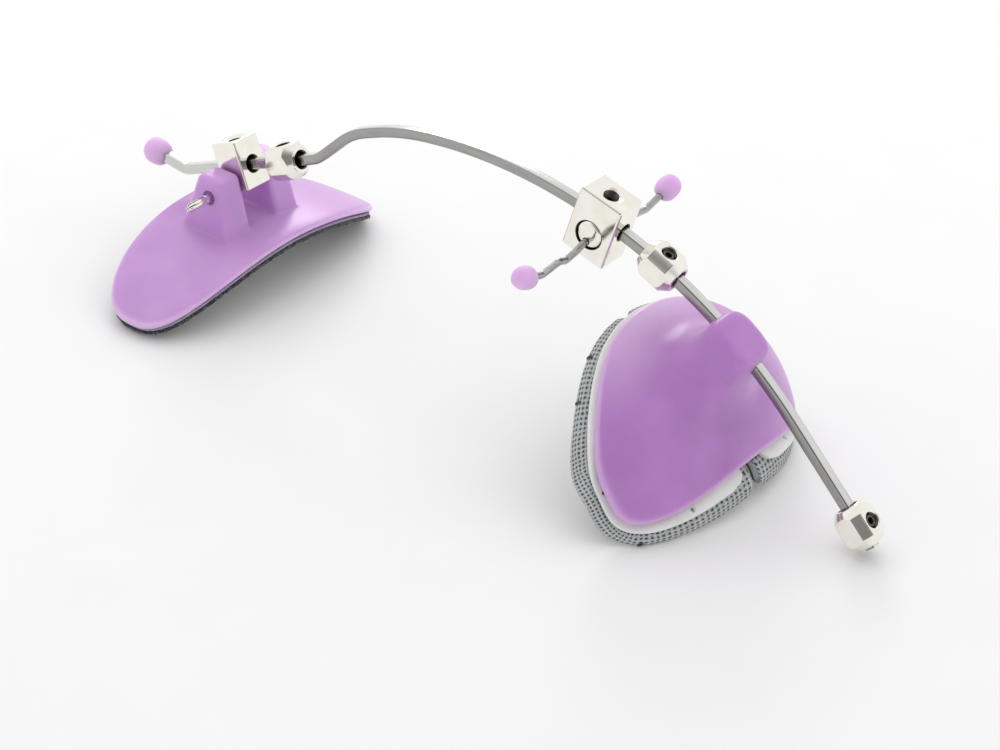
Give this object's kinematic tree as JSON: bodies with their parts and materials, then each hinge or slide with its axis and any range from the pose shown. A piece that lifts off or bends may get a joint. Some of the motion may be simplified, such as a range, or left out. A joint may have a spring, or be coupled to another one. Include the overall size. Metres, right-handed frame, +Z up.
{
  "type": "reverse-pull face mask",
  "caption": "Orthodontic face mask: a bent square steel bar carries a forehead rest on a pin, a crossbar with elastic hooks and a padded chin cup, all held by sliding blocks and collars.",
  "frame": {"origin": "on the table under the middle of the mask's footprint", "axes": "+X across the face, +Y from the forehead rest to the chin cup, +Z up from the table, away from the face"},
  "size_m": [0.0846, 0.2158, 0.0628],
  "materials": {
    "main_rod": "polished",
    "rod_end_cap": "soft",
    "forehead_block": "nickel plated",
    "forehead_block_screw": "dark",
    "forehead_pin": "polished",
    "forehead_shell": "satin",
    "forehead_foam": "soft foam",
    "forehead_pad": "fleecy",
    "upper_collar": "nickel plated",
    "upper_collar_screw": "dark",
    "crossbar_block": "nickel plated",
    "crossbar_block_screw": "dark",
    "crossbar_barrel": "nickel plated",
    "near_hook_arm": "polished",
    "far_hook_arm": "polished",
    "near_hook_cap": "soft",
    "far_hook_cap": "soft",
    "middle_collar": "nickel plated",
    "middle_collar_screw": "dark",
    "chin_cup": "satin",
    "chin_liner": "soft",
    "chin_pad": "mesh",
    "lower_collar": "nickel plated",
    "lower_collar_screw": "dark"
  },
  "bodies": {
    "rod": {"main_rod": "main_rod", "rod_end_cap": "rod_end_cap"},
    "forehead_slider": {"forehead_block": "forehead_block", "forehead_block_screw": "forehead_block_screw"},
    "forehead_rest": {"forehead_shell": "forehead_shell", "forehead_foam": "forehead_foam", "forehead_pad": "forehead_pad", "forehead_pin": "forehead_pin"},
    "upper_stop": {"upper_collar": "upper_collar", "upper_collar_screw": "upper_collar_screw"},
    "crossbar_slider": {"crossbar_block": "crossbar_block", "crossbar_block_screw": "crossbar_block_screw"},
    "crossbar": {"crossbar_barrel": "crossbar_barrel", "near_hook_arm": "near_hook_arm", "far_hook_arm": "far_hook_arm", "near_hook_cap": "near_hook_cap", "far_hook_cap": "far_hook_cap"},
    "middle_stop": {"middle_collar": "middle_collar", "middle_collar_screw": "middle_collar_screw"},
    "chin_rest": {"chin_cup": "chin_cup", "chin_liner": "chin_liner", "chin_pad": "chin_pad"},
    "lower_stop": {"lower_collar": "lower_collar", "lower_collar_screw": "lower_collar_screw"}
  },
  "joints": [
    {"name": "forehead_slide", "type": "slide", "parent": "rod", "child": "forehead_slider", "axis": [0, 0.9158, 0.4017], "range_m": [-0.012, 0.0035]},
    {"name": "forehead_tilt", "type": "hinge", "parent": "forehead_slider", "child": "forehead_rest", "pos_m": [0, -0.07637, 0.02442], "axis": [1, 0, 0], "range_deg": [-12, 30]},
    {"name": "upper_collar_slide", "type": "slide", "parent": "rod", "child": "upper_stop", "axis": [0, 0.9158, 0.4017], "range_m": [-0.0025, 0.004]},
    {"name": "crossbar_slide", "type": "hinge", "parent": "rod", "child": "crossbar_slider", "pos_m": [0, -0.00124, -0.06347], "axis": [-1, 0, 0], "range_deg": [-16.9, 1.4]},
    {"name": "crossbar_tilt", "type": "hinge", "parent": "crossbar_slider", "child": "crossbar", "pos_m": [0, 0.02881, 0.05188], "axis": [1, 0, 0], "range_deg": [-45, 45]},
    {"name": "middle_collar_slide", "type": "hinge", "parent": "rod", "child": "middle_stop", "pos_m": [0, -0.00124, -0.06347], "axis": [-1, 0, 0], "range_deg": [-1.4, 2.3]},
    {"name": "chin_cup_slide", "type": "hinge", "parent": "rod", "child": "chin_rest", "pos_m": [0, -0.00124, -0.06347], "axis": [-1, 0, 0], "range_deg": [-2.3, 6.5]},
    {"name": "lower_collar_slide", "type": "slide", "parent": "rod", "child": "lower_stop", "axis": [0, 0.7199, -0.6941], "range_m": [-0.012, 0]}
  ]
}
